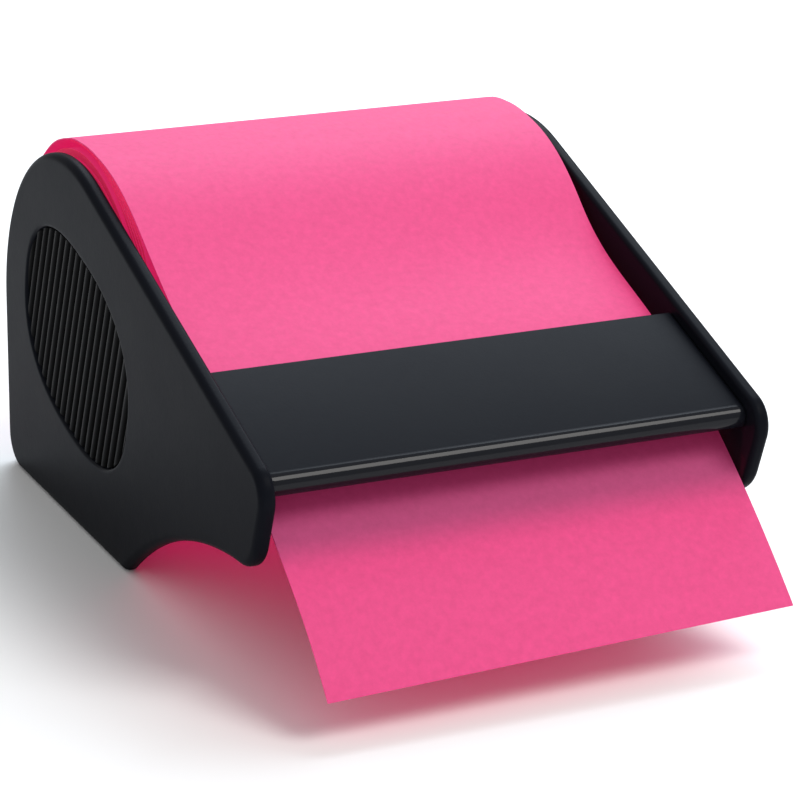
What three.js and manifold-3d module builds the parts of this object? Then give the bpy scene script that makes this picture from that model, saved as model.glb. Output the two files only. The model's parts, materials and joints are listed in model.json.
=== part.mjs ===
import * as THREE from 'three';
import { mergeVertices } from 'three/addons/utils/BufferGeometryUtils.js';
import Module from 'manifold-3d';

// Desk dispenser with a roll of sticky note paper, in millimetres
// X runs across the paper, Y to the back and Z up
// Every part is drawn about the roll's axis, at y = 0, and stands on z = 0

// Paper
const noteWidth = 60;
const paperThickness = 0.15;
const rollRadius = 23.9;
const looseTurns = 5;
const turnPitch = 1.2;
const turnGap = 0.25;
const turnSteps = 40;

// Cardboard core
const coreBore = 25.4;
const coreWall = 1.5;
const coreSides = 56;

// Clearances
const sideGap = 0.9;
const seatGap = 0.3;
const hubClearance = 0.25;
const tableClearance = 1.65;
const panelClearance = 1.2;
const paperRun = 0.55;
const liftRoom = 1;

// Side walls
const wallThickness = 2;
const edgeRound = 0.7;
const topRound = 24.9;
const topForward = 1.05;
const topBelow = 2.09;
const slopeDegrees = 19.5;
const slopeLength = 60.6;
const frontEdge = 12.3;
const baseFront = 20.9;
const archFrontDegrees = 1.6;
const archRearDegrees = 38.9;
const noseRound = 3.8;
const footRound = 5.2;
const baseFrontRound = 1;
const baseRearRound = 4.5;

// Tear bar
const barSetBack = 2.7;
const barDepth = 20.8;
const barDrop = 1.5;
const barPlate = 1.6;
const lipThickness = 3;
const lipFlat = 1.4;
const lipRamp = 2.9;
const barRearRound = 0.5;

// Hub bosses and rear panel
const bossLength = 4.5;
const panelThickness = 2.1;
const panelInset = 0.8;
const panelLift = 0.8;

// Ribbed grips
const gripHalfLength = 19;
const gripHalfHeight = 12.6;
const gripPower = 2.43;
const gripTiltDegrees = 14;
const gripForward = 4.2;
const gripBelow = 1;
const gripDepth = 0.8;
const gripSides = 60;
const ribPitch = 1.89;
const ribWidth = 1;
const ribCrest = 0.4;
const ribSink = 0.15;
const ribLeanDegrees = 22;

// The drawn-off paper leaves the roll: [degrees past the back, lift off the roll]
const liftOff = [[78, 0], [90, 0], [97, 0.2], [107, 0.57], [118, 1.1], [129, 1.65], [138, 2.2], [145, 2.65]];
// and runs on under the bar: [distance behind the bar's rear edge, drop below its underside less paperRun]
const sag = [[20.3, -1.72], [16.6, -1.21], [12.6, -1.25], [9, -1.05], [6, -0.65], [2.6, -0.25], [-0.9, 0]];
// to hang in front of it, measured in the same way
const tongue = [[-9.5, 1.5], [-17.9, 3.55], [-24.5, 5.73], [-28.6, 7.08], [-33.1, 8.7], [-37.4, 10.6], [-41.4, 12.95]];
// and is cut slightly askew, a trim's length short of its last point on the left
const cutSkewDegrees = 1;
const cutTrim = 0.2;
const stripSamples = 76;

// Finish of each part
const blackPlastic = { color: 0x26272b, roughness: 0.42, metalness: 0 };
const pinkPaper = { color: 0xea4e92, roughness: 0.85, metalness: 0 };
const turnEdges = { color: 0xd02a58, roughness: 0.9, metalness: 0 };
const greyBoard = { color: 0xa89880, roughness: 0.95, metalness: 0 };

// Derived sizes
const radians = THREE.MathUtils.degToRad;
const slope = radians(slopeDegrees);
const coreRadius = coreBore / 2 + coreWall;
const paperBore = coreRadius + seatGap;
const innerHalf = noteWidth / 2 + sideGap;
const outerHalf = innerHalf + wallThickness;
const hubHeight = rollRadius + tableClearance;
const wallBack = topRound - topForward;
const barRear = barSetBack + barDepth;

const wasm = await Module();
wasm.setup();

// Solids are joined and cut as manifolds
function toManifold(geometry) {
  const bare = geometry.index ? geometry.toNonIndexed() : geometry.clone();
  bare.deleteAttribute('normal');
  bare.deleteAttribute('uv');
  const merged = mergeVertices(bare, 1e-5);
  return new wasm.Manifold(new wasm.Mesh({
    numProp: 3,
    vertProperties: new Float32Array(merged.attributes.position.array),
    triVerts: new Uint32Array(merged.index.array),
  }));
}

function toGeometry(solid) {
  const mesh = solid.getMesh();
  const geometry = new THREE.BufferGeometry();
  geometry.setAttribute('position', new THREE.BufferAttribute(mesh.vertProperties, 3));
  geometry.setIndex(new THREE.BufferAttribute(mesh.triVerts, 1));
  geometry.computeVertexNormals();
  return geometry;
}

// An outline drawn in the Y-Z plane becomes a solid that runs along X from one place to another
function extrudeAlongX(outline, fromX, toX, round = 0, holes = []) {
  const shape = new THREE.Shape(outline);
  holes.forEach((hole) => shape.holes.push(new THREE.Path(hole)));
  const geometry = new THREE.ExtrudeGeometry(shape, {
    depth: toX - fromX - 2 * round,
    bevelEnabled: round > 0,
    bevelThickness: round,
    bevelSize: round,
    bevelOffset: -round,
    bevelSegments: 4,
  });
  const yAxis = new THREE.Vector3(0, 1, 0);
  const zAxis = new THREE.Vector3(0, 0, 1);
  const xAxis = new THREE.Vector3(1, 0, 0);
  geometry.applyMatrix4(new THREE.Matrix4().makeBasis(yAxis, zAxis, xAxis));
  geometry.translate(fromX + round, 0, 0);
  return geometry;
}

function circle(radius, sides, centre = new THREE.Vector2()) {
  return Array.from({ length: sides }, (_, i) => polar(radius, (i / sides) * 2 * Math.PI, centre));
}

function polar(radius, angle, centre = new THREE.Vector2()) {
  return new THREE.Vector2(centre.x + radius * Math.cos(angle), centre.y + radius * Math.sin(angle));
}

// Each corner is [point, radius, steps]: a radius rounds it with an arc of that many steps
function roundCorners(corners) {
  const points = [];
  corners.forEach(([corner, radius, steps], i) => {
    if (!radius) {
      points.push(corner);
      return;
    }
    const before = corners.at(i - 1)[0].clone().sub(corner).normalize();
    const after = corners[(i + 1) % corners.length][0].clone().sub(corner).normalize();
    const halfAngle = Math.acos(before.dot(after)) / 2;
    const middle = before.clone().add(after).normalize();
    const centre = corner.clone().addScaledVector(middle, radius / Math.sin(halfAngle));
    const reach = radius / Math.tan(halfAngle);
    const start = corner.clone().addScaledVector(before, reach).sub(centre);
    const end = corner.clone().addScaledVector(after, reach).sub(centre);
    const turn = Math.atan2(start.cross(end), start.dot(end));
    for (let k = 0; k <= steps; k += 1) {
      points.push(polar(radius, start.angle() + (turn * k) / steps, centre));
    }
  });
  return points;
}

// Where the lines through two points meet, given the directions in which they run
function meetingPoint(start, heading, end, arrival) {
  const gap = end.clone().sub(start);
  return start.clone().addScaledVector(heading, gap.cross(arrival) / heading.cross(arrival));
}

// Places on the sloping front: distance behind the front edge, height over the rim
const hub = new THREE.Vector2(0, hubHeight);
const alongSlope = new THREE.Vector2(Math.cos(slope), Math.sin(slope));
const offSlope = new THREE.Vector2(-Math.sin(slope), Math.cos(slope));
const topCentre = new THREE.Vector2(-topForward, hubHeight - topBelow);
const noseCorner = topCentre.clone()
  .addScaledVector(offSlope, topRound)
  .addScaledVector(alongSlope, -slopeLength);

function slopePoint(behind, over) {
  return noseCorner.clone().addScaledVector(alongSlope, behind).addScaledVector(offSlope, over);
}

// Underside of a wall from the foot back to the base, a curve between two tangents
function archPoints(foot, baseCorner) {
  const archSteps = 14;
  const heading = new THREE.Vector2(1, 0).rotateAround(new THREE.Vector2(), -radians(archFrontDegrees));
  const arrival = new THREE.Vector2(1, 0).rotateAround(new THREE.Vector2(), -radians(archRearDegrees));
  const bend = meetingPoint(foot, heading, baseCorner, arrival);
  const curve = new THREE.QuadraticBezierCurve(foot, bend, baseCorner).getPoints(archSteps);
  return curve.filter((point) => {
    return point.distanceTo(foot) > footRound && point.distanceTo(baseCorner) > baseFrontRound;
  });
}

// Side wall: flat rear base, round top, straight slope, nose and arched underside
function wallOutline() {
  const topSteps = 28;
  const roundTop = Array.from({ length: topSteps + 1 }, (_, i) => {
    return [polar(topRound, ((Math.PI / 2 + slope) * i) / topSteps, topCentre)];
  });
  const foot = slopePoint(0, -frontEdge);
  const baseCorner = new THREE.Vector2(-baseFront, 0);
  return roundCorners([
    [baseCorner, baseFrontRound, 5],
    [new THREE.Vector2(wallBack, 0), baseRearRound, 6],
    ...roundTop,
    [noseCorner, noseRound, 8],
    [foot, footRound, 5],
    ...archPoints(foot, baseCorner).map((point) => [point]),
  ]);
}

// Tear bar: a plate parallel to the slope with a full round lip in front
function barOutline() {
  const lipRadius = lipThickness / 2;
  const lipCentre = slopePoint(barSetBack + lipRadius, -barDrop - lipRadius);
  const lipSteps = 10;
  const lip = Array.from({ length: lipSteps + 1 }, (_, i) => {
    return [polar(lipRadius, slope + Math.PI / 2 + (Math.PI * i) / lipSteps, lipCentre)];
  });
  const lipRear = barSetBack + lipRadius + lipFlat;
  return roundCorners([
    ...lip,
    [slopePoint(lipRear, -barDrop - lipThickness)],
    [slopePoint(lipRear + lipRamp, -barDrop - barPlate)],
    [slopePoint(barRear, -barDrop - barPlate), barRearRound, 3],
    [slopePoint(barRear, -barDrop), barRearRound, 3],
  ]);
}

// Low rear panel between the walls, as high as the roll leaves room for
function panelOutline() {
  const rear = wallBack - panelInset;
  const front = rear - panelThickness;
  const reach = rollRadius + panelClearance;
  const top = hubHeight - Math.sqrt(reach ** 2 - front ** 2);
  return [
    new THREE.Vector2(front, panelLift),
    new THREE.Vector2(rear, panelLift),
    new THREE.Vector2(rear, top),
    new THREE.Vector2(front, top),
  ];
}

function bossAt(side) {
  const boss = new THREE.CylinderGeometry(coreBore / 2 - hubClearance, coreBore / 2 - hubClearance,
    bossLength + wallThickness / 2, coreSides);
  boss.rotateZ(Math.PI / 2);
  boss.translate(side * (innerHalf + (wallThickness / 2 - bossLength) / 2), 0, hubHeight);
  return boss;
}

// Grip recess with its ribs left standing, as a tool that cuts one side wall
function gripOutline(centre) {
  const tilt = radians(gripTiltDegrees);
  return Array.from({ length: gripSides }, (_, i) => {
    const angle = (i / gripSides) * 2 * Math.PI;
    const cos = Math.cos(angle);
    const sin = Math.sin(angle);
    const long = gripHalfLength * Math.sign(cos) * Math.abs(cos) ** (2 / gripPower);
    const short = gripHalfHeight * Math.sign(sin) * Math.abs(sin) ** (2 / gripPower);
    return new THREE.Vector2(long, short).rotateAround(new THREE.Vector2(), tilt).add(centre);
  });
}

function gripCutter(side) {
  const centre = new THREE.Vector2(-gripForward, hubHeight - gripBelow);
  const over = 1;
  const floor = side * (outerHalf - gripDepth);
  const outside = side * (outerHalf + over);
  const recess = extrudeAlongX(gripOutline(centre), Math.min(floor, outside), Math.max(floor, outside));
  const ribHeight = gripDepth - ribSink;
  const section = new THREE.Shape([
    new THREE.Vector2(-ribWidth / 2, -over),
    new THREE.Vector2(ribWidth / 2, -over),
    new THREE.Vector2(ribWidth / 2, 0),
    new THREE.Vector2(ribCrest / 2, ribHeight),
    new THREE.Vector2(-ribCrest / 2, ribHeight),
    new THREE.Vector2(-ribWidth / 2, 0),
  ]);
  const ribLength = 2 * (gripHalfLength + gripHalfHeight);
  const ribsEachWay = Math.floor(gripHalfLength / ribPitch);
  const lean = radians(ribLeanDegrees);
  const across = new THREE.Vector3(0, Math.cos(lean), Math.sin(lean));
  const outward = new THREE.Vector3(side, 0, 0);
  const along = new THREE.Vector3().crossVectors(across, outward);
  let cutter = toManifold(recess);
  for (let rib = -ribsEachWay; rib <= ribsEachWay; rib += 1) {
    const bar = new THREE.ExtrudeGeometry(section, { depth: ribLength, bevelEnabled: false });
    bar.translate(rib * ribPitch, 0, -ribLength / 2);
    bar.applyMatrix4(new THREE.Matrix4().makeBasis(across, outward, along));
    bar.translate(floor, centre.x, centre.y);
    cutter = cutter.subtract(toManifold(bar));
  }
  return cutter;
}

// One moulding: both walls, the bar, the rear panel and the two bosses
function bodyGeometry() {
  const wallShape = wallOutline();
  const midWall = innerHalf + wallThickness / 2;
  let body = toManifold(extrudeAlongX(barOutline(), -midWall, midWall));
  body = body.add(toManifold(extrudeAlongX(panelOutline(), -midWall, midWall)));
  [-1, 1].forEach((side) => {
    const fromX = side < 0 ? -outerHalf : innerHalf;
    body = body.add(toManifold(extrudeAlongX(wallShape, fromX, fromX + wallThickness, edgeRound)));
    body = body.add(toManifold(bossAt(side)));
  });
  [-1, 1].forEach((side) => {
    body = body.subtract(gripCutter(side));
  });
  return toGeometry(body);
}

// Cardboard tube that turns on the bosses
function coreGeometry() {
  const outline = circle(coreRadius, coreSides, hub);
  return extrudeAlongX(outline, -noteWidth / 2, noteWidth / 2, 0, [circle(coreBore / 2, coreSides, hub)]);
}

// Wound paper: tight inside, then loose turns along a spiral that ends at the top
function rollGeometry() {
  const turnBand = turnPitch - turnGap;
  const startRadius = rollRadius - turnBand - turnPitch * looseTurns;
  const endAngle = radians(liftOff[0][0]);
  const spiral = (turn, offset) => {
    return polar(startRadius + turnPitch * turn + offset, endAngle + turn * 2 * Math.PI, hub);
  };
  const outline = [];
  for (let step = looseTurns * turnSteps; step >= 0; step -= 1) {
    outline.push(spiral(step / turnSteps, turnBand));
  }
  for (let step = turnSteps; step <= looseTurns * turnSteps; step += 1) {
    outline.push(spiral(step / turnSteps, 0));
  }
  const bore = circle(paperBore, coreSides, hub);
  return extrudeAlongX(outline, -noteWidth / 2, noteWidth / 2, 0, [bore]);
}

// Paper drawn off the roll, under the bar and out in front
function stripGeometry() {
  const lying = rollRadius + seatGap + paperThickness / 2;
  const underside = -barDrop - barPlate - paperRun;
  const run = sag.concat(tongue).map(([behind, drop]) => slopePoint(barRear + behind, underside - drop));
  // On a shorter slope the paper leaves the roll sooner, liftRoom before its run to the bar
  const leaving = liftOff
    .map(([angle, lift]) => polar(lying + lift, radians(angle), hub))
    .filter((point) => point.clone().sub(run[0]).dot(alongSlope) > liftRoom);
  const path = [...leaving, ...run];
  const curve = new THREE.CatmullRomCurve3(path.map((point) => new THREE.Vector3(0, point.x, point.y)));
  const upper = [];
  const lower = [];
  for (let i = 0; i <= stripSamples; i += 1) {
    const point = curve.getPointAt(i / stripSamples);
    const ahead = curve.getTangentAt(i / stripSamples);
    const normal = new THREE.Vector2(-ahead.z, ahead.y);
    const middle = new THREE.Vector2(point.y, point.z);
    upper.push(middle.clone().addScaledVector(normal, paperThickness / 2));
    lower.unshift(middle.clone().addScaledVector(normal, -paperThickness / 2));
  }
  const ribbon = extrudeAlongX(upper.concat(lower), -noteWidth / 2, noteWidth / 2);
  return toGeometry(toManifold(ribbon).subtract(toManifold(cutOff(path.at(-1)))));
}

// Block beyond the slightly skew cut, hinged where the cut meets the strip's left edge
function cutOff(tip) {
  const size = 4 * noteWidth;
  const block = new THREE.BoxGeometry(size, size, size);
  block.translate(0, -size / 2, 0);
  block.rotateZ(radians(cutSkewDegrees));
  block.translate(-noteWidth / 2, tip.x + cutTrim, tip.y);
  return block;
}

function part(name, geometry, finish) {
  const mesh = new THREE.Mesh(geometry, new THREE.MeshStandardMaterial(finish));
  mesh.name = name;
  return mesh;
}

const dispenser = new THREE.Group();
dispenser.add(part('dispenser_body', bodyGeometry(), blackPlastic));
dispenser.add(part('roll_core', coreGeometry(), greyBoard));
dispenser.add(part('paper_roll', rollGeometry(), turnEdges));
dispenser.add(part('paper_strip', stripGeometry(), pinkPaper));

// The origin is the middle of the whole part's footprint, on the surface that it stands on
const extent = new THREE.Box3().setFromObject(dispenser);
const middle = extent.getCenter(new THREE.Vector3());
dispenser.position.set(-middle.x, -middle.y, -extent.min.z);

export default dispenser;
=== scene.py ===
"""Looks for a sticky note roll in its desk dispenser, laid out as a Blender add-on."""

import json
import math

import bmesh
import bpy
from bpy.props import FloatProperty, FloatVectorProperty, IntProperty, PointerProperty
from mathutils import Matrix, Vector


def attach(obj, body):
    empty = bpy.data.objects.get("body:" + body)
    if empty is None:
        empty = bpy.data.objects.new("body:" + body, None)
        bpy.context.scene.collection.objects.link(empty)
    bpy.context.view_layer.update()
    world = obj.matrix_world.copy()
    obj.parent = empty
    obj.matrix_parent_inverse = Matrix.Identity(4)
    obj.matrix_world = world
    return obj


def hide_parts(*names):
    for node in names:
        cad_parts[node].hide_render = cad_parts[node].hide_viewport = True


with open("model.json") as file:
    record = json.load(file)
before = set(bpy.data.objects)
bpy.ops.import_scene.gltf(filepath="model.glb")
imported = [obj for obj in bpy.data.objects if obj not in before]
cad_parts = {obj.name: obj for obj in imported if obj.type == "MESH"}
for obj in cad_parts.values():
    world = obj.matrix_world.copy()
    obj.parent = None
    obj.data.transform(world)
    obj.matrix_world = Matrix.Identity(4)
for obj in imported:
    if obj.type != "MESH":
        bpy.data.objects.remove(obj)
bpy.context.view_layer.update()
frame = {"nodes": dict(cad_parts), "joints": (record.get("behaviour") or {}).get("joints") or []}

bl_info = {
    "name": "Sticky Note Roll Dispenser",
    "version": (1, 0, 0),
    "blender": (4, 5, 0),
    "location": "View3D > Sidebar > Note Dispenser",
    "description": "Builds the moulding, grips, note paper and studio of a desk note dispenser",
    "category": "Object",
}

MM = 0.001
HUB = Vector(frame["joints"][0]["pos_m"])
# Flat points lie in the hub's plane: (distance behind the hub, height over it)
AXIS = Vector((0, 0))
BASE_BODY = "dispenser"
ROLL_BODY = "roll"

# The paper leaves the roll: (degrees past the back, lift off the roll in mm)
LEFT_LIFT = [(18, 0), (40, 0), (62, 0), (80, 0), (90, 0.02), (98, 0.3), (108, 0.85), (118, 1.5),
             (127, 2.25), (134, 2.8), (140, 3.35), (146, 4.15)]
RIGHT_LIFT = [(18, 0), (40, 0), (62, 0), (80, 0), (90, 0), (98, 0.25), (108, 0.7), (118, 1.25),
              (129, 1.75), (139, 2.15), (147, 2.5)]
# Under it the outer laps spring open: (degrees past the back, opening in mm)
LEFT_LAPS = [(80, 0), (90, 0.02), (98, 0.3), (108, 0.85), (118, 1.5), (127, 2.25), (134, 2.8),
             (140, 3.25), (146, 3.5), (153, 2.9), (162, 1.6), (172, 0.6), (185, 0.1), (200, 0)]
RIGHT_LAPS = [(80, 0), (90, 0), (98, 0.25), (108, 0.7), (118, 1.25), (129, 1.75), (139, 2.05),
              (147, 2.1), (155, 1.6), (165, 0.8), (175, 0.3), (187, 0.05), (200, 0)]
# It runs on to the bar: (mm behind the bar's rear edge, drop in mm below the bar's run)
LEFT_SAG = [(22, -3.5), (18.8, -2.7), (15.7, -2.1), (12.1, -1.45), (6, -0.55), (0, 0)]
RIGHT_SAG = [(26, -3.7), (22, -1.55), (18.5, -0.45), (14.4, -0.05), (9.5, -0.1), (5.9, -0.1),
             (2.5, -0.03), (0, 0)]
# It hangs in front as a tongue, measured in the same way
LEFT_TONGUE = [(-9.5, 1.45), (-17.5, 3.6), (-21.2, 4.85), (-25, 5.98), (-29.1, 7.25), (-33, 8.65),
               (-36.5, 10.25), (-39.7, 12.05), (-41.2, 13.0)]
RIGHT_TONGUE = [(-9.5, 1.4), (-18, 3.6), (-24.2, 5.53), (-28.2, 6.95), (-33.3, 8.9),
                (-38.3, 10.95), (-39.95, 11.8)]


def length(name, description, millimetres):
    """A length property, given in millimetres."""
    return FloatProperty(name=name, description=description, default=millimetres * MM,
                         unit="LENGTH", precision=5)


def angle(name, description, degrees):
    """An angle property, given in degrees."""
    return FloatProperty(name=name, description=description, default=math.radians(degrees),
                         subtype="ANGLE")


def colour(name, description, rgb):
    """A linear colour property."""
    return FloatVectorProperty(name=name, description=description, default=rgb, subtype="COLOR",
                               size=3, min=0, max=1)


class MouldingSizes(bpy.types.PropertyGroup):
    """Sizes of the black moulding."""

    inner_half: length("Inner half width", "From the middle to a wall's inner face", 30.9)
    wall: length("Wall", "Thickness of a side wall", 2)
    outer_round: length("Outer fillet", "Fillet along a wall's outer edge", 0.95)
    inner_round: length("Inner fillet", "Fillet along a wall's inner edge", 0.6)
    top_round: length("Top radius", "Radius of a wall's round top", 24.9)
    top_forward: length("Top forward", "How far the round top's centre lies in front of the hub", 1.05)
    top_below: length("Top below", "How far the round top's centre lies below the hub", 2.09)
    slope: angle("Slope", "Slope of a wall's straight front edge", 19.5)
    slope_length: length("Slope length", "From the round top to the nose corner", 60.6)
    front_edge: length("Front edge", "Depth of a wall's front edge", 12.3)
    base_front: length("Base front", "From the hub forward to the front of the base", 20.9)
    nose_round: length("Nose radius", "Rounding of the nose", 3.8)
    foot_round: length("Foot radius", "Rounding of the foot", 5.2)
    base_front_round: length("Base front radius", "Rounding where the arch meets the base", 1.3)
    base_rear_round: length("Base rear radius", "Rounding of the lower rear corner", 4.5)
    arch_front: angle("Arch at the foot", "How steeply the arch leaves the foot", 1.6)
    arch_rear: angle("Arch at the base", "How steeply the arch meets the base", 38.9)
    bar_set_back: length("Bar set back", "From the nose to the bar's lip", 2.7)
    bar_depth: length("Bar depth", "From the lip to the bar's rear edge", 20.8)
    bar_drop: length("Bar drop", "The bar's top below the walls' rim", 1.5)
    bar_plate: length("Bar plate", "Thickness of the bar's plate", 1.6)
    lip: length("Lip", "Thickness of the round lip", 3)
    lip_flat: length("Lip flat", "Flat underside behind the lip's rounding", 1.4)
    lip_ramp: length("Lip ramp", "Ramp from the lip up to the plate", 2.9)
    bar_groove: length("Bar groove", "Groove where the bar's rounded end meets a wall", 0.35)
    panel: length("Rear panel", "Thickness of the low rear panel", 2.1)
    panel_inset: length("Panel inset", "The panel's rear face in front of the walls' back", 0.8)
    panel_lift: length("Panel lift", "The panel's lower edge above the base", 0.8)
    panel_gap: length("Panel gap", "Room between the panel's top and the roll", 1.2)
    boss_radius: length("Boss radius", "Radius of a hub boss", 12.45)
    boss_length: length("Boss length", "How far a hub boss stands in from the wall", 4.5)


class GripSizes(bpy.types.PropertyGroup):
    """Sizes of the ribbed grips."""

    half_length: length("Half length", "Half the recess's long axis", 19)
    half_height: length("Half height", "Half the recess's short axis", 12.6)
    power: FloatProperty(name="Squareness", description="Power of the recess's superellipse", default=2.43)
    tilt: angle("Tilt", "Tilt of the recess's long axis", 14)
    forward: length("Forward", "The recess's centre in front of the hub", 4.2)
    below: length("Below", "The recess's centre below the hub", 1)
    depth: length("Depth", "Depth of the recess", 0.8)
    edge: length("Edge", "Soft edge of the recess", 0.5)
    pitch: length("Rib pitch", "From rib to rib", 1.89)
    rib: length("Rib width", "Width of a rib at its foot", 1.8)
    rib_height: length("Rib height", "Height of a rib", 0.62)
    lean: angle("Rib lean", "Lean of the ribs off the upright", 22)
    count: IntProperty(name="Ribs", description="Ribs across a grip", default=21, min=1)


class PaperSizes(bpy.types.PropertyGroup):
    """Sizes of the note paper."""

    width: length("Width", "Width of the note paper", 60)
    thickness: length("Thickness", "Thickness of the drawn-off paper", 0.15)
    roll_radius: length("Roll radius", "Radius of the wound roll", 23.9)
    lying: length("Lying radius", "Radius at which the outer lap lies", 24.275)
    bore: length("Bore", "Radius of the roll's bore", 14.5)
    pitch: length("Turn pitch", "From one loose turn to the next", 1.2)
    gap: length("Turn gap", "Air between loose turns", 0.25)
    turns: IntProperty(name="Loose turns", description="Loose outer turns", default=5, min=1)
    roll_end: angle("Roll end", "Where the outer turn ends, past the back", 165)
    paper_run: length("Paper run", "Room between the bar's underside and the paper", 0.625)
    laps: IntProperty(name="Open laps", description="Laps that spring open under the drawn-off paper",
                      default=4, min=1)
    lap_clear: length("Lap clearance", "The open laps start this far inside the lying radius", 0.3)
    lap_fill: FloatProperty(name="Lap fill", description="Share of a lap's room that its paper fills",
                            default=0.58)
    across: IntProperty(name="Across", description="Faces across the paper", default=12, min=1)
    along: IntProperty(name="Along", description="Faces along the paper", default=260, min=8)


class FinishColours(bpy.types.PropertyGroup):
    """Colours of the finishes."""

    # The plastic's own black, with a blue cast that is partly painted reflection of the cool light mirrored
    # on the bar's top
    plastic: colour("Plastic", "Black moulded plastic", (0.0058, 0.0066, 0.0096))
    # Painted shade: the grips' black is darker than the moulding's to stand in for the shade among the ribs
    # in their recesses
    grip: colour("Grips", "Black of the ribbed grips", (0.0014, 0.0014, 0.0016))
    paper: colour("Paper", "Face of the note paper", (0.38, 0.05, 0.16))
    # Painted light: the paper's emission colour stands in for the light its fluorescent dye gives back, and
    # it shines with no lamp on it
    painted_glow: colour("Paper glow", "Fluorescence of the note paper", (0.41, 0.008, 0.07))
    edges: colour("Paper edges", "Cut edges of the wound paper", (0.72, 0.017, 0.09))
    board: colour("Board", "Grey board of the core", (0.39, 0.31, 0.22))
    floor: colour("Floor", "Pale studio floor", (0.93, 0.93, 0.93))


class StudioSettings(bpy.types.PropertyGroup):
    """Camera and light."""

    heading: angle("Heading", "The view's turn from straight behind the front", 25.304)
    pitch: angle("Pitch", "How far the camera looks down", 18.982)
    roll: angle("Roll", "How far the camera is rolled", 0.854)
    lens: FloatProperty(name="Lens", description="Focal length in mm on a 36 mm sensor", default=144.8)
    camera_left: length("Camera left", "Camera to the left of the hub", 161.39)
    camera_front: length("Camera front", "Camera in front of the hub", 372.87)
    camera_above: length("Camera above", "Camera above the hub", 126.01)
    sky: FloatProperty(name="Sky", description="Strength of the even white surroundings", default=0.54)
    key: FloatProperty(name="Key light", description="Power of the large soft light behind",
                       default=4.8, unit="POWER")
    fill: FloatProperty(name="Fill light", description="Power of the soft light in front",
                        default=3, unit="POWER")


class NoteDispenser(bpy.types.PropertyGroup):
    """All settings of the note dispenser."""

    moulding: PointerProperty(type=MouldingSizes)
    grip: PointerProperty(type=GripSizes)
    paper: PointerProperty(type=PaperSizes)
    finish: PointerProperty(type=FinishColours)
    studio: PointerProperty(type=StudioSettings)


def polar(radius, turn, centre):
    """Point on a circle in the hub's plane."""
    return centre + Vector((math.cos(turn), math.sin(turn))) * radius


def cross2(a, b):
    """Cross product of two flat vectors."""
    return a.x * b.y - a.y * b.x


def round_corners(corners):
    """Each corner is (point, radius, steps): a radius rounds it with an arc of that many steps."""
    points = []
    for i, (corner, radius, steps) in enumerate(corners):
        if not radius:
            points.append(corner)
            continue
        before = (corners[i - 1][0] - corner).normalized()
        after = (corners[(i + 1) % len(corners)][0] - corner).normalized()
        half = math.acos(before.dot(after)) / 2
        centre = corner + (before + after).normalized() * (radius / math.sin(half))
        reach = radius / math.tan(half)
        start = corner + before * reach - centre
        end = corner + after * reach - centre
        turn = math.atan2(cross2(start, end), start.dot(end))
        first = math.atan2(start.y, start.x)
        points += [polar(radius, first + turn * k / steps, centre) for k in range(steps + 1)]
    return points


def grown(outline, amount):
    """The closed outline moved outwards by an amount, inwards if it is below zero."""
    count = len(outline)
    area = sum(cross2(outline[i - 1], outline[i]) for i in range(count))
    side = 1 if area > 0 else -1
    moved = []
    for i, point in enumerate(outline):
        into = (point - outline[i - 1]).normalized()
        out = (outline[(i + 1) % count] - point).normalized()
        normal = Vector((into.y + out.y, -into.x - out.x)).normalized() * side
        lean = max(0.5, normal.dot(Vector((into.y, -into.x)) * side))
        moved.append(point + normal * (amount / lean))
    return moved


def spline(points, samples):
    """Evenly spaced points on a smooth curve through the given ones."""
    dense = []
    steps = 24
    padded = [points[0] * 2 - points[1], *points, points[-1] * 2 - points[-2]]
    for a, b, c, d in zip(padded, padded[1:], padded[2:], padded[3:]):
        for k in range(steps):
            t = k / steps
            dense.append(0.5 * (2 * b + (c - a) * t + (2 * a - 5 * b + 4 * c - d) * t ** 2
                                + (3 * b - a - 3 * c + d) * t ** 3))
    dense.append(points[-1])
    reach = [0.0]
    for a, b in zip(dense, dense[1:]):
        reach.append(reach[-1] + (b - a).length)
    even = []
    k = 0
    for i in range(samples + 1):
        target = reach[-1] * i / samples
        while k < len(dense) - 2 and reach[k + 1] < target:
            k += 1
        share = (target - reach[k]) / max(1e-9, reach[k + 1] - reach[k])
        even.append(dense[k].lerp(dense[k + 1], min(1, share)))
    return even


def eased(points, passes, reach):
    """The points evened out over their neighbours, with both ends kept."""
    for _ in range(passes):
        last = len(points) - 1
        even = []
        for i in range(last + 1):
            near = min(reach, i, last - i)
            group = points[i - near:i + near + 1]
            even.append(sum(group, Vector((0, 0))) / len(group))
        points = even
    return points


def slope_point(sizes, behind, over):
    """Place on the sloping front: distance behind the nose, height over the rim."""
    along = Vector((math.cos(sizes.slope), math.sin(sizes.slope)))
    off = Vector((-along.y, along.x))
    top = Vector((-sizes.top_forward, -sizes.top_below))
    return top + off * (sizes.top_round + over) + along * (behind - sizes.slope_length)


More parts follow.
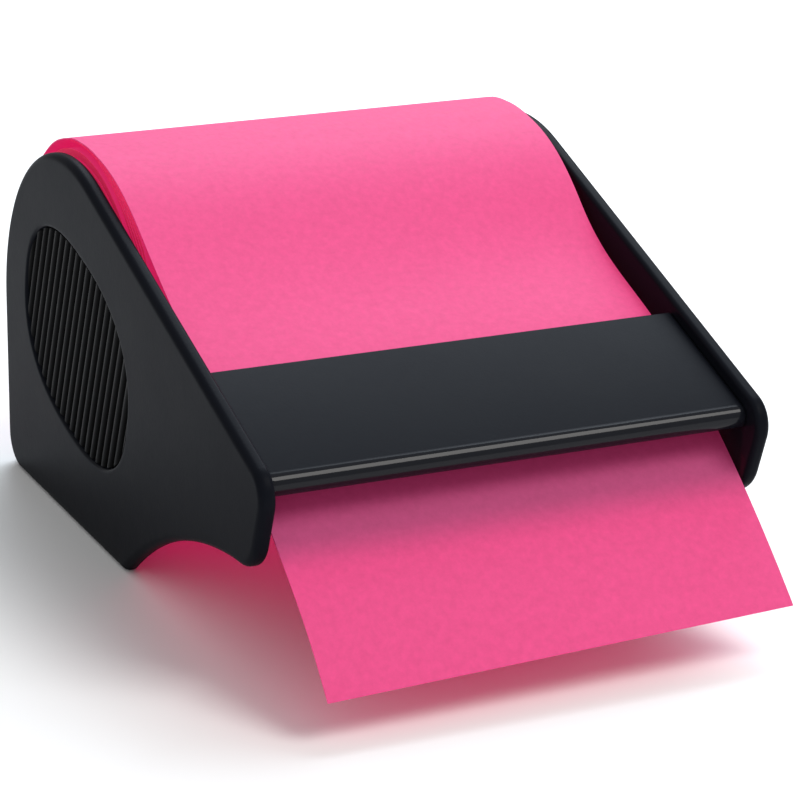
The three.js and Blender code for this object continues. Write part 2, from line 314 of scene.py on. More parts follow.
def wall_outline(sizes):
    """Side of a wall in the hub's plane: base, round top, slope, nose, foot and arch."""
    ground = -HUB.z
    top = Vector((-sizes.top_forward, -sizes.top_below))
    back = sizes.top_round - sizes.top_forward
    top_steps = 56
    round_top = [polar(sizes.top_round, (math.pi / 2 + sizes.slope) * i / top_steps, top)
                 for i in range(top_steps + 1)]
    nose = slope_point(sizes, 0, 0)
    foot = slope_point(sizes, 0, -sizes.front_edge)
    base = Vector((-sizes.base_front, ground))
    heading = Vector((math.cos(sizes.arch_front), -math.sin(sizes.arch_front)))
    arrival = Vector((math.cos(sizes.arch_rear), -math.sin(sizes.arch_rear)))
    bend = foot + heading * (cross2(base - foot, arrival) / cross2(heading, arrival))
    arch_steps = 40
    arch = []
    for k in range(1, arch_steps):
        t = k / arch_steps
        point = foot * (1 - t) ** 2 + bend * 2 * t * (1 - t) + base * t ** 2
        if (point - foot).length > sizes.foot_round and (point - base).length > sizes.base_front_round:
            arch.append(point)
    return round_corners([
        (base, sizes.base_front_round, 8),
        (Vector((back, ground)), sizes.base_rear_round, 12),
        *[(point, 0, 0) for point in round_top],
        (nose, sizes.nose_round, 16),
        (foot, sizes.foot_round, 14),
        *[(point, 0, 0) for point in arch],
    ])


def grip_outline(grip):
    """Superellipse of a grip's recess in the hub's plane."""
    centre = Vector((-grip.forward, -grip.below))
    turn = Matrix.Rotation(grip.tilt, 2)
    points = 120
    power = 2 / grip.power
    outline = []
    for i in range(points):
        at = 2 * math.pi * i / points
        c = math.cos(at)
        s = math.sin(at)
        length_part = grip.half_length * math.copysign(abs(c) ** power, c)
        height_part = grip.half_height * math.copysign(abs(s) ** power, s)
        outline.append(centre + turn @ Vector((length_part, height_part)))
    return outline


def vertex(bm, x, point):
    """A vertex at one place along X, from a point in the hub's plane."""
    return bm.verts.new((x, HUB.y + point.x, HUB.z + point.y))


def ring(bm, outline, x):
    """A closed ring of vertices at one place along X."""
    return [vertex(bm, x, point) for point in outline]


def skin(bm, rings):
    """Faces between neighbouring rings."""
    for a, b in zip(rings, rings[1:]):
        for i in range(len(a)):
            bm.faces.new((a[i - 1], a[i], b[i], b[i - 1]))


def fill_between(bm, rings):
    """Flat face inside the first ring, with the others as holes."""
    edges = []
    for loop in rings:
        for i in range(len(loop)):
            ends = (loop[i - 1], loop[i])
            edges.append(bm.edges.get(ends) or bm.edges.new(ends))
    bmesh.ops.triangle_fill(bm, use_beauty=True, edges=edges)


def quarter(radius, steps=6):
    """A quarter round: (distance along, inset) pairs from the flat to the edge."""
    turns = [math.pi / 2 * k / steps for k in range(steps + 1)]
    return [(radius * (1 - math.cos(turn)), radius * (1 - math.sin(turn))) for turn in turns]


def finish_mesh(bm, name, smooth_degrees=35):
    """Turns the working mesh into a linked object with outward faces."""
    bmesh.ops.recalc_face_normals(bm, faces=bm.faces)
    mesh = bpy.data.meshes.new(name)
    bm.to_mesh(mesh)
    bm.free()
    return link_mesh(mesh, name, smooth_degrees)


def link_mesh(mesh, name, smooth_degrees=35):
    """Links a mesh as a smooth-shaded object at the origin."""
    mesh.shade_smooth()
    mesh.set_sharp_from_angle(angle=math.radians(smooth_degrees))
    piece = bpy.data.objects.new(name, mesh)
    bpy.context.scene.collection.objects.link(piece)
    return piece


def add_wall(bm, sizes, grip, side):
    """One side wall with filleted edges and a grip's recess in its outer face."""
    outline = wall_outline(sizes)
    flat = 0.3 * MM
    inner = sizes.inner_half
    outer = inner + sizes.wall
    stations = [(inner, sizes.inner_round + flat)]
    stations += [(inner + along, inset) for along, inset in quarter(sizes.inner_round)]
    stations += [(outer - along, inset) for along, inset in reversed(quarter(sizes.outer_round, 9))]
    stations.append((outer, sizes.outer_round + flat))
    rings = [ring(bm, grown(outline, -inset), side * x) for x, inset in stations]
    skin(bm, rings)
    fill_between(bm, rings[:1])
    recess = grip_outline(grip)
    floor_round = grip.edge / 2
    levels = [(0, grip.edge + flat)]
    levels += [(along, inset) for along, inset in quarter(grip.edge)]
    levels += [(grip.depth - inset, -along) for along, inset in quarter(floor_round, 4)]
    levels.append((grip.depth, -floor_round - flat))
    dips = [ring(bm, grown(recess, grow), side * (outer - depth)) for depth, grow in levels]
    skin(bm, dips)
    fill_between(bm, [rings[-1], dips[0]])
    fill_between(bm, dips[-1:])


def bar_outline(sizes):
    """Section of the tear bar: a plate parallel to the slope with a round lip."""
    radius = sizes.lip / 2
    centre = slope_point(sizes, sizes.bar_set_back + radius, -sizes.bar_drop - radius)
    steps = 20
    lip = [polar(radius, sizes.slope + math.pi / 2 + math.pi * i / steps, centre) for i in range(steps + 1)]
    lip_rear = sizes.bar_set_back + radius + sizes.lip_flat
    rear = sizes.bar_set_back + sizes.bar_depth
    under = -sizes.bar_drop - sizes.bar_plate
    soft = 0.8 * MM
    edge = 0.45 * MM
    return round_corners([
        *[(point, 0, 0) for point in lip],
        (slope_point(sizes, lip_rear, -sizes.bar_drop - sizes.lip), soft, 4),
        (slope_point(sizes, lip_rear + sizes.lip_ramp, under), soft, 4),
        (slope_point(sizes, rear, under), edge, 5),
        (slope_point(sizes, rear, -sizes.bar_drop), edge, 5),
    ])


def add_rail(bm, outline, half, fillet):
    """A section run between the walls: a fillet swells into them, one below zero leaves a groove."""
    reach = abs(fillet)
    sign = math.copysign(1, fillet)
    nearly_whole = fillet * 0.98
    sunk = 0.6 * MM
    stations = [(half + sunk, nearly_whole), (half, nearly_whole)]
    stations += [(half - along, sign * inset) for along, inset in quarter(reach, 8)[1:]]
    stations.append((half - reach - sunk, 0))
    stations += [(-x, grow) for x, grow in reversed(stations)]
    rings = [ring(bm, grown(outline, grow), x) for x, grow in stations]
    skin(bm, rings)
    fill_between(bm, rings[:1])
    fill_between(bm, rings[-1:])


def panel_outline(sizes, roll_radius):
    """Section of the low rear panel, as high as the roll leaves room for."""
    rear = sizes.top_round - sizes.top_forward - sizes.panel_inset
    front = rear - sizes.panel
    low = sizes.panel_lift - HUB.z
    top = -math.sqrt((roll_radius + sizes.panel_gap) ** 2 - front ** 2)
    edge = 0.5 * MM
    corners = [(front, low), (rear, low), (rear, top), (front, top)]
    return round_corners([(Vector(corner), edge, 4) for corner in corners])


def add_boss(bm, sizes, side):
    """A round boss with a softened rim, on which the core turns."""
    sides = 72
    edge = 0.5 * MM
    tip = sizes.inner_half - sizes.boss_length
    levels = [(sizes.inner_half + sizes.wall / 2, 0), (tip + edge, 0)]
    levels += [(tip + along, -inset) for along, inset in reversed(quarter(edge, 4))]
    rings = []
    for x, grow in levels:
        radius = sizes.boss_radius + grow
        circle = [polar(radius, 2 * math.pi * i / sides, AXIS) for i in range(sides)]
        rings.append(ring(bm, circle, side * x))
    skin(bm, rings)
    bm.faces.new(rings[0])
    bm.faces.new(rings[-1])


class Socket:
    """A shader value that adds Math nodes when it is used in an expression."""

    def __init__(self, shader, out):
        self.shader = shader
        self.out = out

    def maths(self, operation, *values):
        return self.shader.node("ShaderNodeMath", {"operation": operation}, dict(enumerate(values)))

    def __add__(self, other):
        return self.maths("ADD", self, other)

    def __rsub__(self, other):
        return self.maths("SUBTRACT", other, self)

    def __mul__(self, other):
        return self.maths("MULTIPLY", self, other)

    def __gt__(self, other):
        return self.maths("GREATER_THAN", self, other)

    __radd__ = __add__
    __rmul__ = __mul__


class Shader:
    """Builds one node material around a Principled shader."""

    def __init__(self, name, **constants):
        self.material = bpy.data.materials.new(name)
        self.material.use_nodes = True
        self.tree = self.material.node_tree
        self.surface = self.tree.nodes["Principled BSDF"]
        for socket, value in constants.items():
            self.surface.inputs[socket.replace("_", " ")].default_value = value

    def node(self, kind, settings=None, inputs=None, output=0):
        made = self.tree.nodes.new(kind)
        for key, value in (settings or {}).items():
            setattr(made, key, value)
        for key, value in (inputs or {}).items():
            if isinstance(value, Socket):
                self.tree.links.new(value.out, made.inputs[key])
            else:
                made.inputs[key].default_value = value
        return Socket(self, made.outputs[output])

    def place(self, scale=(1, 1, 1), centre=(0, 0, 0)):
        """Object coordinates from a centre, stretched by a scale."""
        at = self.node("ShaderNodeTexCoord", output="Object")
        moved = self.node("ShaderNodeVectorMath", {"operation": "SUBTRACT"}, {0: at, 1: centre})
        return self.node("ShaderNodeVectorMath", {"operation": "MULTIPLY"}, {0: moved, 1: scale})

    def distance(self, axes, centre=(0, 0, 0)):
        """Distance from a centre along the axes that are 1."""
        away = self.place(axes, centre)
        return self.node("ShaderNodeVectorMath", {"operation": "LENGTH"}, {0: away}, "Value")

    def ramp(self, value, low, high, interpolation="SMOOTHSTEP"):
        """Runs from 0 at the low value to 1 at the high one."""
        return self.node("ShaderNodeMapRange", {"interpolation_type": interpolation},
                         {"Value": value, "From Min": low, "From Max": high})

    def noise(self, place, scale, detail, roughness=0.55):
        inputs = {"Vector": place, "Scale": scale, "Detail": detail, "Roughness": roughness}
        return self.node("ShaderNodeTexNoise", {}, inputs, "Fac")

    def blend(self, share, first, second):
        """The first colour where the share is 0, the second where it is 1."""
        return self.node("ShaderNodeMix", {"data_type": "RGBA"}, {0: share, 6: first, 7: second}, 2)

    def feed(self, socket, value):
        """Links a value into the Principled shader."""
        self.tree.links.new(value.out, self.surface.inputs[socket])

    def bump(self, height, distance, strength=1.0):
        inputs = {"Height": height, "Distance": distance, "Strength": strength}
        self.feed("Normal", self.node("ShaderNodeBump", {}, inputs, "Normal"))


def tinted(rgb, factor):
    """A colour made lighter or darker, with full opacity."""
    return (*[min(1, channel * factor) for channel in rgb], 1)


def bar_y(sizes, behind_lip):
    """Place along Y of the bar's top, so far behind its lip."""
    return HUB.y + slope_point(sizes, sizes.bar_set_back + behind_lip, -sizes.bar_drop).x


def plastic_finish(name, rgb, sizes=None):
    """Satin black moulded plastic with a fine spark-eroded grain. The moulding's sizes polish its lip."""
    shader = Shader(name, IOR=1.49, Specular_IOR_Level=0.019)
    place = shader.place()
    cloud = shader.noise(place, 60, 3)
    grain = shader.noise(place, 2600, 2)
    fine = shader.noise(place, 900, 3)
    shader.feed("Base Color", shader.blend(cloud, tinted(rgb, 0.9), tinted(rgb, 1.1)))
    shader.feed("Roughness", 0.3 + 0.1 * cloud + 0.06 * fine)
    if sizes:
        lip = bar_y(sizes, 0)
        plain_from = lip + 1.7 * MM
        polished_to = lip + 0.9 * MM
        coat = 0.35
        along = shader.node("ShaderNodeSeparateXYZ", {}, {0: place}, 1)
        polish = shader.ramp(along, plain_from, polished_to)
        on_bar = 1 - (shader.distance((1, 0, 0)) > sizes.inner_half)
        shader.feed("Coat Weight", polish * on_bar * coat)
    shader.bump(grain * 0.7 + fine * 0.3, 0.012 * MM)
    return shader.material


def paper_colour(shader, finish):
    """Mottled dyed paper: its colour and the fibre height behind it."""
    place = shader.place()
    mottle = shader.noise(place, 1000, 6, 0.65)
    cloud = shader.noise(place, 55, 2)
    fibre = shader.noise(shader.place((1, 0.35, 0.35)), 2200, 4, 0.7)
    spread = shader.ramp(mottle * 0.86 + cloud * 0.14, 0.3, 0.7, "LINEAR")
    face = shader.blend(spread, tinted(finish.paper, 0.9), tinted(finish.paper, 1.09))
    return face, fibre, mottle, spread


def paper_finish(finish, sizes):
    """Matt note paper with painted light: its emission stands in for fluorescence, and painted shade dims
    that emission under the bar.
    """
    lip = bar_y(sizes, 0)
    bar_rear = bar_y(sizes, sizes.bar_depth)
    # Painted shade under the bar: full from this far behind the lip to this far before the bar's rear,
    # fading out this far before the lip
    painted_shade_behind_lip = 1.2 * MM
    painted_shade_fade_before_lip = 3.5 * MM
    painted_shade_before_rear = 3 * MM
    shader = Shader("note_paper", IOR=1.4, Emission_Strength=1)
    face, fibre, mottle, spread = paper_colour(shader, finish)
    shader.feed("Base Color", face)
    shader.feed("Roughness", 0.6 + 0.14 * fibre)
    shader.bump(fibre * 0.6 + mottle * 0.4, 0.02 * MM, 0.8)
    along = shader.node("ShaderNodeSeparateXYZ", {}, {0: shader.place()}, 1)
    ahead = shader.ramp(along, lip + painted_shade_behind_lip, lip - painted_shade_fade_before_lip)
    behind = shader.ramp(along, bar_rear - painted_shade_before_rear, bar_rear)
    painted_glow = shader.blend(spread, tinted(finish.painted_glow, 0.95), tinted(finish.painted_glow, 1.05))
    # Painted light, cut to a fifth where the painted shade lies under the bar
    shader.feed("Emission Color", shader.blend(ahead + behind, tinted(finish.painted_glow, 0.2), painted_glow))
    return shader.material


def turns_finish(finish, paper):
    """Paper faces with crimson cut edges that show the single laps as fine rings. Faces and edges both
    carry painted light as emission.
    """
    shader = Shader("wound_paper", IOR=1.4, Emission_Strength=0.5)
    face, fibre, mottle, _ = paper_colour(shader, finish)
    radius = shader.distance((0, 1, 1), HUB)
    lap = 0.14 * MM
    rim = 0.02 * MM
    wobble = shader.noise(shader.place(), 300, 2)
    phase = radius * (2 * math.pi / lap) + wobble * 5
    rings = shader.node("ShaderNodeMath", {"operation": "SINE"}, {0: phase})
    cut = shader.distance((1, 0, 0)) > paper.width / 2 - rim
    edge = shader.blend(rings * 0.5 + 0.5, tinted(finish.edges, 0.72), tinted(finish.edges, 1.25))
    shader.feed("Base Color", shader.blend(cut, face, edge))
    # Painted light: the faces emit the paper's painted emission colour and the cut edges emit their own
    # colour, with no lamp on them
    shader.feed("Emission Color", shader.blend(cut, tinted(finish.painted_glow, 2), edge))
    shader.feed("Roughness", 0.78 + 0.12 * fibre)
    shader.bump(rings * cut * 0.5 + fibre * 0.3 + mottle * 0.2, 0.02 * MM)
    return shader.material


def board_finish(finish):
    """Grey board of a paper tube, with its fibres."""
    shader = Shader("grey_board", IOR=1.4)
    fibre = shader.noise(shader.place((0.3, 1, 1)), 900, 5, 0.7)
    cloud = shader.noise(shader.place(), 90, 3)
    shade = fibre * 0.6 + cloud * 0.4
    shader.feed("Base Color", shader.blend(shade, tinted(finish.board, 0.75), tinted(finish.board, 1.2)))
    shader.feed("Roughness", 0.85 + 0.1 * fibre)
    shader.bump(fibre, 0.03 * MM)
    return shader.material


class NodeTree:
    """A geometry node tree with named inputs."""

    def __init__(self, name):
        self.tree = bpy.data.node_groups.new(name, "GeometryNodeTree")
        self.tree.interface.new_socket("Geometry", in_out="INPUT", socket_type="NodeSocketGeometry")
        self.entry = self.tree.nodes.new("NodeGroupInput")
        self.exit = self.tree.nodes.new("NodeGroupOutput")
        self.values = {}

    def value(self, name, value, kind="NodeSocketFloat"):
        socket = self.tree.interface.new_socket(name, in_out="INPUT", socket_type=kind)
        self.values[socket.identifier] = value
        return next(out for out in self.entry.outputs if out.identifier == socket.identifier)

    def node(self, kind, settings=None, inputs=None, output=0):
        made = self.tree.nodes.new(kind)
        for key, value in (settings or {}).items():
            setattr(made, key, value)
        for key, value in (inputs or {}).items():
            for single in value if isinstance(value, list) else [value]:
                if isinstance(single, bpy.types.NodeSocket):
                    self.tree.links.new(single, made.inputs[key])
                else:
                    made.inputs[key].default_value = single
        return made.outputs[output]

    def maths(self, operation, *values):
        return self.node("ShaderNodeMath", {"operation": operation}, dict(enumerate(values)))

    def run(self, name, geometry, material):
        """Ends the tree, runs it on an object and gives the result as a plain mesh."""
        whole = self.node("GeometryNodeRealizeInstances", {}, {"Geometry": geometry})
        dressed = self.node("GeometryNodeSetMaterial", {}, {"Geometry": whole, "Material": material})
        self.tree.interface.new_socket("Geometry", in_out="OUTPUT", socket_type="NodeSocketGeometry")
        self.tree.links.new(dressed, self.exit.inputs[0])
        maker_name = name + "_maker"
        maker = bpy.data.objects.new(maker_name, bpy.data.meshes.new(maker_name))
        bpy.context.scene.collection.objects.link(maker)
        modifier = maker.modifiers.new(name, "NODES")
        modifier.node_group = self.tree
        for identifier, value in self.values.items():
            modifier[identifier] = value
        made = maker.evaluated_get(bpy.context.evaluated_depsgraph_get())
        mesh = bpy.data.meshes.new_from_object(made)
        maker.modifiers.remove(modifier)
        bpy.data.objects.remove(maker)
        if not mesh.polygons:
            raise RuntimeError(f"{name} came out empty")
        mesh.name = name
        return mesh


def declare(piece, body, slot, *replaced):
    """Hangs a finished piece on the body it rides on and hides the nodes it replaces. The slot is not used.
    """
    if replaced:
        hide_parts(*replaced)
    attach(piece, body)


class NOTE_OT_moulding(bpy.types.Operator):
    """Make the one-piece black moulding"""

    bl_idname = "note_dispenser.moulding"
    bl_label = "Moulding"

    def execute(self, context):
        kit = context.scene.note_dispenser
        sizes = kit.moulding
        bm = bmesh.new()
        for side in (-1, 1):
            add_wall(bm, sizes, kit.grip, side)
            add_boss(bm, sizes, side)
        add_rail(bm, bar_outline(sizes), sizes.inner_half, -sizes.bar_groove)
        add_rail(bm, panel_outline(sizes, kit.paper.roll_radius), sizes.inner_half, 0.5 * MM)
        piece = finish_mesh(bm, "dispenser_moulding")
        piece.data.materials.append(plastic_finish("black_moulded_plastic", kit.finish.plastic, sizes))
        declare(piece, BASE_BODY, "black_plastic", "dispenser_body")
        return {"FINISHED"}


class NOTE_OT_grips(bpy.types.Operator):
    """Make the ribs in both grip recesses"""

    bl_idname = "note_dispenser.grips"
    bl_label = "Grip Ribs"

    def execute(self, context):
        kit = context.scene.note_dispenser
        # The ribs take the darker grip black, painted shade for their recesses
        material = plastic_finish("painted_shade_grip_plastic", kit.finish.grip)
        for side, name in ((-1, "grip_ribs_left"), (1, "grip_ribs_right")):
            piece = link_mesh(self.ribs(kit, side, name, material), name)
            declare(piece, BASE_BODY, "black_plastic")
        return {"FINISHED"}

    def ribs(self, kit, side, name, material):
        """Round ribs repeated across the recess and trimmed to its outline."""
        grip = kit.grip
        sizes = kit.moulding
        floor = side * (sizes.inner_half + sizes.wall - grip.depth)
        margin = 0.12 * MM
        sunk = 0.2 * MM
        bm = bmesh.new()
        outline = grown(grip_outline(grip), -margin)
        rings = [ring(bm, outline, floor - side * sunk), ring(bm, outline, floor + side * grip.depth)]
        skin(bm, rings)
        bm.faces.new(rings[0])
        bm.faces.new(rings[1])
        plug = finish_mesh(bm, name + "_plug")
        tree = NodeTree(name)
        pitch = tree.value("Pitch", grip.pitch)
        count = tree.value("Ribs", grip.count, "NodeSocketInt")
        width = tree.value("Rib Width", grip.rib)
        height = tree.value("Rib Height", grip.rib_height)
        reach = tree.value("Rib Length", 2 * (grip.half_length + grip.half_height))
        lean = tree.value("Lean", grip.lean)
        span = tree.maths("MULTIPLY", pitch, tree.maths("SUBTRACT", count, 1.0))
        start = tree.node("ShaderNodeCombineXYZ", {}, {1: tree.maths("MULTIPLY", span, -0.5)})
        step = tree.node("ShaderNodeCombineXYZ", {}, {1: pitch})
        line = tree.node("GeometryNodeMeshLine", {},
                         {"Count": count, "Start Location": start, "Offset": step})
        tube = tree.node("GeometryNodeMeshCylinder", {"fill_type": "NGON"},
                         {"Vertices": 28, "Radius": 1.0, "Depth": 1.0}, "Mesh")
        half = tree.maths("MULTIPLY", width, 0.5)
        shape = tree.node("ShaderNodeCombineXYZ", {}, {0: height, 1: half, 2: reach})
        bars = tree.node("GeometryNodeInstanceOnPoints", {},
                         {"Points": line, "Instance": tube, "Scale": shape})
        turned = tree.node("ShaderNodeCombineXYZ", {}, {0: lean})
        centre = (floor, HUB.y - grip.forward, HUB.z - grip.below)
        placed = tree.node("GeometryNodeTransform", {},
                           {"Geometry": bars, "Rotation": turned, "Translation": centre})
        solid = tree.node("GeometryNodeRealizeInstances", {}, {"Geometry": placed})
        seat = tree.node("GeometryNodeObjectInfo", {}, {"Object": plug}, "Geometry")
        trimmed = tree.node("GeometryNodeMeshBoolean", {"operation": "INTERSECT", "solver": "EXACT"},
                            {"Mesh 2": [solid, seat]})
        mesh = tree.run(name, trimmed, material)
        bpy.data.objects.remove(plug)
        return mesh


class NOTE_OT_paper(bpy.types.Operator):
    """Make the paper drawn off the roll and the open laps beneath it"""

    bl_idname = "note_dispenser.paper"
    bl_label = "Drawn-off Paper"

    def execute(self, context):
        kit = context.scene.note_dispenser
        paper = kit.paper
        left = self.edge(kit, LEFT_LIFT, LEFT_SAG + LEFT_TONGUE)
        right = self.edge(kit, RIGHT_LIFT, RIGHT_SAG + RIGHT_TONGUE)
        bm = bmesh.new()
        self.ribbon(bm, paper, left, right, [paper.thickness] * len(left))
        piece = finish_mesh(bm, "drawn_off_paper", 50)
        piece.data.materials.append(paper_finish(kit.finish, kit.moulding))
        declare(piece, BASE_BODY, "note_paper", "paper_strip")
        self.open_laps(kit, paper)
        return {"FINISHED"}

    def open_laps(self, kit, paper):
        """Laps that share the room between the roll and the drawn-off paper."""
        bm = bmesh.new()
        start = paper.lying - paper.lap_clear
        air = 0.05 * MM
        spare = paper.lap_clear - paper.thickness / 2 - air
        for lap in range(paper.laps):
            share = (lap + 0.5) / paper.laps
            edges = []
            for opening in (LEFT_LAPS, RIGHT_LAPS):
                points = []
                for turn, rise in opening:
                    room = spare + max(0, rise * MM - paper.lap_clear)
                    points.append(polar(start + room * share, math.radians(turn), AXIS))
                edges.append(eased(spline(points, paper.along // 2), passes=2, reach=2))
            left, right = edges
            walls = [self.lap_wall(paper, start, share, a) for a in left]
            self.ribbon(bm, paper, left, right, walls)
        piece = finish_mesh(bm, "open_laps", 50)
        piece.data.materials.append(turns_finish(kit.finish, paper))
        declare(piece, BASE_BODY, "turn_edges")

    def lap_wall(self, paper, start, share, point):
        """Thickness of a lap, from the room between it and the roll."""
        least_rise = 0.02 * MM
        thickest = 0.45 * MM
        room = max(least_rise, point.length - start) / share
        return min(thickest, paper.lap_fill * room / paper.laps)

    def ribbon(self, bm, paper, left, right, walls):
        """A band between two edges, as thick at each row as its wall says."""
        faces = []
        last = len(left) - 1
        for side in (1, -1):
            grid = []
            for row, (a, b) in enumerate(zip(left, right)):
                ahead = (left[min(row + 1, last)] - left[max(row - 1, 0)]).normalized()
                normal = Vector((ahead.y, -ahead.x)) * (-side * walls[row] / 2)
                points = [(a.lerp(b, k / paper.across) + normal, (k / paper.across - 0.5) * paper.width)
                          for k in range(paper.across + 1)]
                grid.append([vertex(bm, x, point) for point, x in points])
            faces.append(grid)
        upper, lower = faces
        for row in range(last):
            for k in range(paper.across):
                for grid in faces:
                    bm.faces.new((grid[row][k], grid[row][k + 1], grid[row + 1][k + 1], grid[row + 1][k]))
            for k in (0, -1):
                bm.faces.new((upper[row][k], upper[row + 1][k], lower[row + 1][k], lower[row][k]))
        for row in (0, -1):
            for k in range(paper.across):
                bm.faces.new((upper[row][k], upper[row][k + 1], lower[row][k + 1], lower[row][k]))

    def edge(self, kit, lift, run):
        """One edge of the paper as evenly spaced points in the hub's plane."""
        sizes = kit.moulding
        paper = kit.paper
        bar_rear = sizes.bar_set_back + sizes.bar_depth
        under = -sizes.bar_drop - sizes.bar_plate - paper.paper_run
        points = [polar(paper.lying + rise * MM, math.radians(turn), AXIS) for turn, rise in lift]
        points += [slope_point(sizes, bar_rear + behind * MM, under - drop * MM) for behind, drop in run]
        path = spline(points, paper.along)
        # Only paper that has left the roll is eased, so none of it sinks into the roll
        free = 0.6 * MM
        shares = [max(0, min(1, (point.length - paper.lying) / free)) for point in path]
        smooth = eased(path, passes=6, reach=6)
        return [point.lerp(even, share) for point, even, share in zip(path, smooth, shares)]


class NOTE_OT_roll(bpy.types.Operator):
    """Make the wound paper and dress its core"""

    bl_idname = "note_dispenser.roll"
    bl_label = "Wound Roll"
    round_steps = 160

    def execute(self, context):
        kit = context.scene.note_dispenser
        paper = kit.paper
        tree = NodeTree("wound_roll")
        outer = tree.value("Roll Radius", paper.roll_radius)
        pitch = tree.value("Turn Pitch", paper.pitch)
        gap = tree.value("Turn Gap", paper.gap)
        turns = tree.value("Loose Turns", float(paper.turns))
        width = tree.value("Paper Width", paper.width)
        bore = tree.value("Bore Radius", paper.bore)
        band = tree.maths("SUBTRACT", pitch, gap)
        last = tree.maths("SUBTRACT", outer, tree.maths("MULTIPLY", band, 0.5))
        first = tree.maths("SUBTRACT", last, tree.maths("MULTIPLY", pitch, turns))
        coil = tree.node("GeometryNodeCurveSpiral", {},
                         {"Resolution": self.round_steps, "Rotations": turns, "Start Radius": first,
                          "End Radius": last, "Height": 0.0})
        lap = self.swept(tree, coil, band, width)
        wound_out = tree.maths("SUBTRACT", first, tree.maths("MULTIPLY", band, 0.5))
        wound_mid = tree.maths("MULTIPLY", tree.maths("ADD", wound_out, bore), 0.5)
        wound_wall = tree.maths("SUBTRACT", wound_out, bore)
        circle = tree.node("GeometryNodeCurvePrimitiveCircle", {},
                           {"Resolution": self.round_steps, "Radius": wound_mid})
        tight = self.swept(tree, circle, wound_wall, width)
        both = tree.node("GeometryNodeJoinGeometry", {}, {"Geometry": [lap, tight]})
        quarter_turn = math.pi / 2
        stood = tree.node("GeometryNodeTransform", {},
                          {"Geometry": both, "Rotation": (quarter_turn, 0, quarter_turn)})
        placed = tree.node("GeometryNodeTransform", {},
                           {"Geometry": stood, "Rotation": (paper.roll_end, 0, 0), "Translation": HUB})
        material = turns_finish(kit.finish, paper)
        piece = link_mesh(tree.run("wound_roll", placed, material), "wound_roll")
        declare(piece, ROLL_BODY, "turn_edges", "paper_roll")
        self.dress_core(kit)
        return {"FINISHED"}

    def swept(self, tree, curve, wall, width):
        """A rectangular section swept along a flat curve."""
        upright = tree.node("GeometryNodeSetCurveNormal", {"mode": "Z_UP"}, {"Curve": curve})
        section = tree.node("GeometryNodeCurvePrimitiveQuadrilateral", {},
                            {"Width": wall, "Height": width})
        return tree.node("GeometryNodeCurveToMesh", {},
                         {"Curve": upright, "Profile Curve": section, "Fill Caps": True})

    def dress_core(self, kit):
        """Grey board on the core that the frame brings."""
        core = frame["nodes"]["roll_core"]
        core.data.materials.clear()
        core.data.materials.append(board_finish(kit.finish))


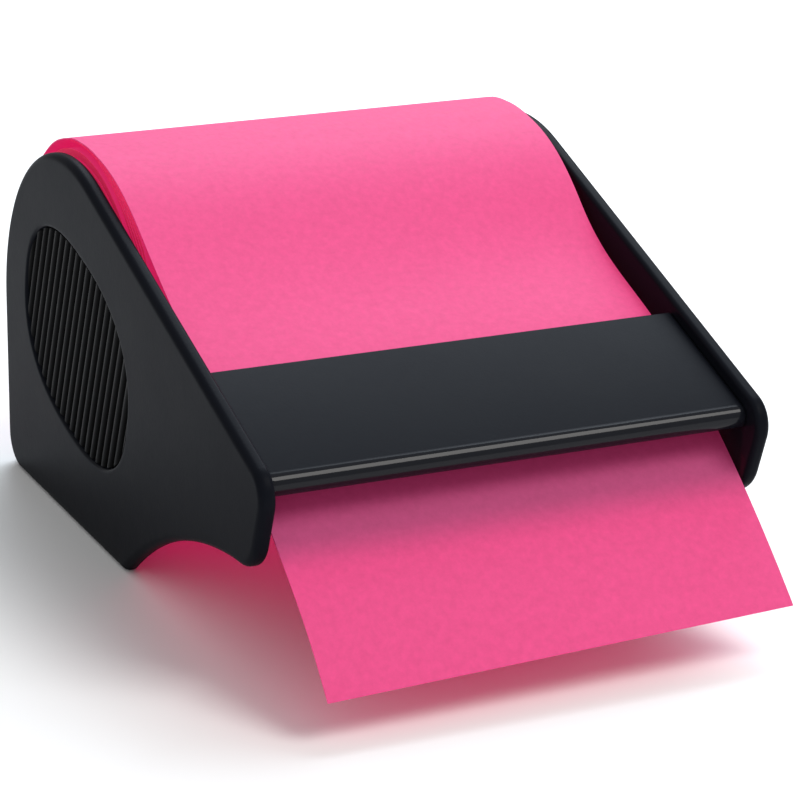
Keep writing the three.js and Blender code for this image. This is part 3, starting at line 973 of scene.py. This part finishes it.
class NOTE_OT_studio(bpy.types.Operator):
    """Make the floor, the light and the camera"""

    bl_idname = "note_dispenser.studio"
    bl_label = "Studio"

    def execute(self, context):
        kit = context.scene.note_dispenser
        self.floor(kit)
        self.lights(context, kit.studio)
        self.camera(context, kit.studio)
        context.scene.view_settings.view_transform = "Standard"
        return {"FINISHED"}

    def floor(self, kit):
        """A pale floor, far larger than the view."""
        reach = 3
        mesh = bpy.data.meshes.new("studio_floor")
        corners = [(-reach, -reach, 0), (reach, -reach, 0), (reach, reach, 0), (-reach, reach, 0)]
        mesh.from_pydata(corners, [], [(0, 1, 2, 3)])
        floor = bpy.data.objects.new("studio_floor", mesh)
        bpy.context.scene.collection.objects.link(floor)
        shader = Shader("pale_floor", Roughness=0.7)
        cloud = shader.noise(shader.place(), 12, 2)
        pale = kit.finish.floor
        shader.feed("Base Color", shader.blend(cloud, tinted(pale, 0.995), tinted(pale, 1.005)))
        mesh.materials.append(shader.material)

    def lights(self, context, studio):
        """Even white surroundings, a large cool light high behind and a smaller one in front."""
        world = bpy.data.worlds.new("soft_surroundings")
        world.use_nodes = True
        background = world.node_tree.nodes["Background"]
        background.inputs["Color"].default_value = (1, 1, 1, 1)
        background.inputs["Strength"].default_value = studio.sky
        context.scene.world = world
        places = [
            ("rear_light", (0.3, 0.42, 0.55), 0.5, studio.key, (0.82, 0.91, 1)),
            ("front_light", (0.3, -0.38, 0.6), 0.35, studio.fill, (1, 0.98, 0.95)),
        ]
        for name, place, size, power, tint in places:
            data = bpy.data.lights.new(name, "AREA")
            data.shape = "SQUARE"
            data.size = size
            data.energy = power
            data.color = tint
            light = bpy.data.objects.new(name, data)
            light.location = place
            light.rotation_euler = (HUB - Vector(place)).to_track_quat("-Z", "Y").to_euler()
            context.scene.collection.objects.link(light)

    def camera(self, context, studio):
        """The photograph's viewing angle."""
        ahead = Vector((math.sin(studio.heading) * math.cos(studio.pitch),
                        math.cos(studio.heading) * math.cos(studio.pitch), -math.sin(studio.pitch)))
        level = ahead.cross(Vector((0, 0, 1))).normalized()
        upright = level.cross(ahead)
        right = level * math.cos(studio.roll) + upright * math.sin(studio.roll)
        up = right.cross(ahead)
        data = bpy.data.cameras.new("studio_camera")
        data.lens = studio.lens
        data.sensor_width = 36
        data.clip_start = 0.01
        data.clip_end = 20
        camera = bpy.data.objects.new("studio_camera", data)
        turn = Matrix((right, up, -ahead)).transposed().to_4x4()
        place = HUB + Vector((-studio.camera_left, -studio.camera_front, studio.camera_above))
        camera.matrix_world = Matrix.Translation(place) @ turn
        context.scene.collection.objects.link(camera)
        context.scene.camera = camera


class NOTE_PT_panel(bpy.types.Panel):
    """Panel in the 3D view's sidebar."""

    bl_idname = "NOTE_PT_panel"
    bl_label = "Note Dispenser"
    bl_space_type = "VIEW_3D"
    bl_region_type = "UI"
    bl_category = "Note Dispenser"

    def draw(self, context):
        kit = context.scene.note_dispenser
        for operator in OPERATORS:
            self.layout.operator(operator.bl_idname)
        for group in (kit.moulding, kit.grip, kit.paper, kit.finish, kit.studio):
            box = self.layout.box()
            for key in group.__annotations__:
                box.prop(group, key)


GROUPS = (MouldingSizes, GripSizes, PaperSizes, FinishColours, StudioSettings, NoteDispenser)
OPERATORS = (NOTE_OT_moulding, NOTE_OT_grips, NOTE_OT_paper, NOTE_OT_roll, NOTE_OT_studio)


def register():
    for cls in (*GROUPS, *OPERATORS, NOTE_PT_panel):
        bpy.utils.register_class(cls)
    bpy.types.Scene.note_dispenser = PointerProperty(type=NoteDispenser)


def unregister():
    del bpy.types.Scene.note_dispenser
    for cls in reversed((*GROUPS, *OPERATORS, NOTE_PT_panel)):
        bpy.utils.unregister_class(cls)


def main():
    register()
    bpy.ops.note_dispenser.moulding()
    bpy.ops.note_dispenser.grips()
    bpy.ops.note_dispenser.paper()
    bpy.ops.note_dispenser.roll()
    bpy.ops.note_dispenser.studio()


if __name__ == "__main__":
    main()
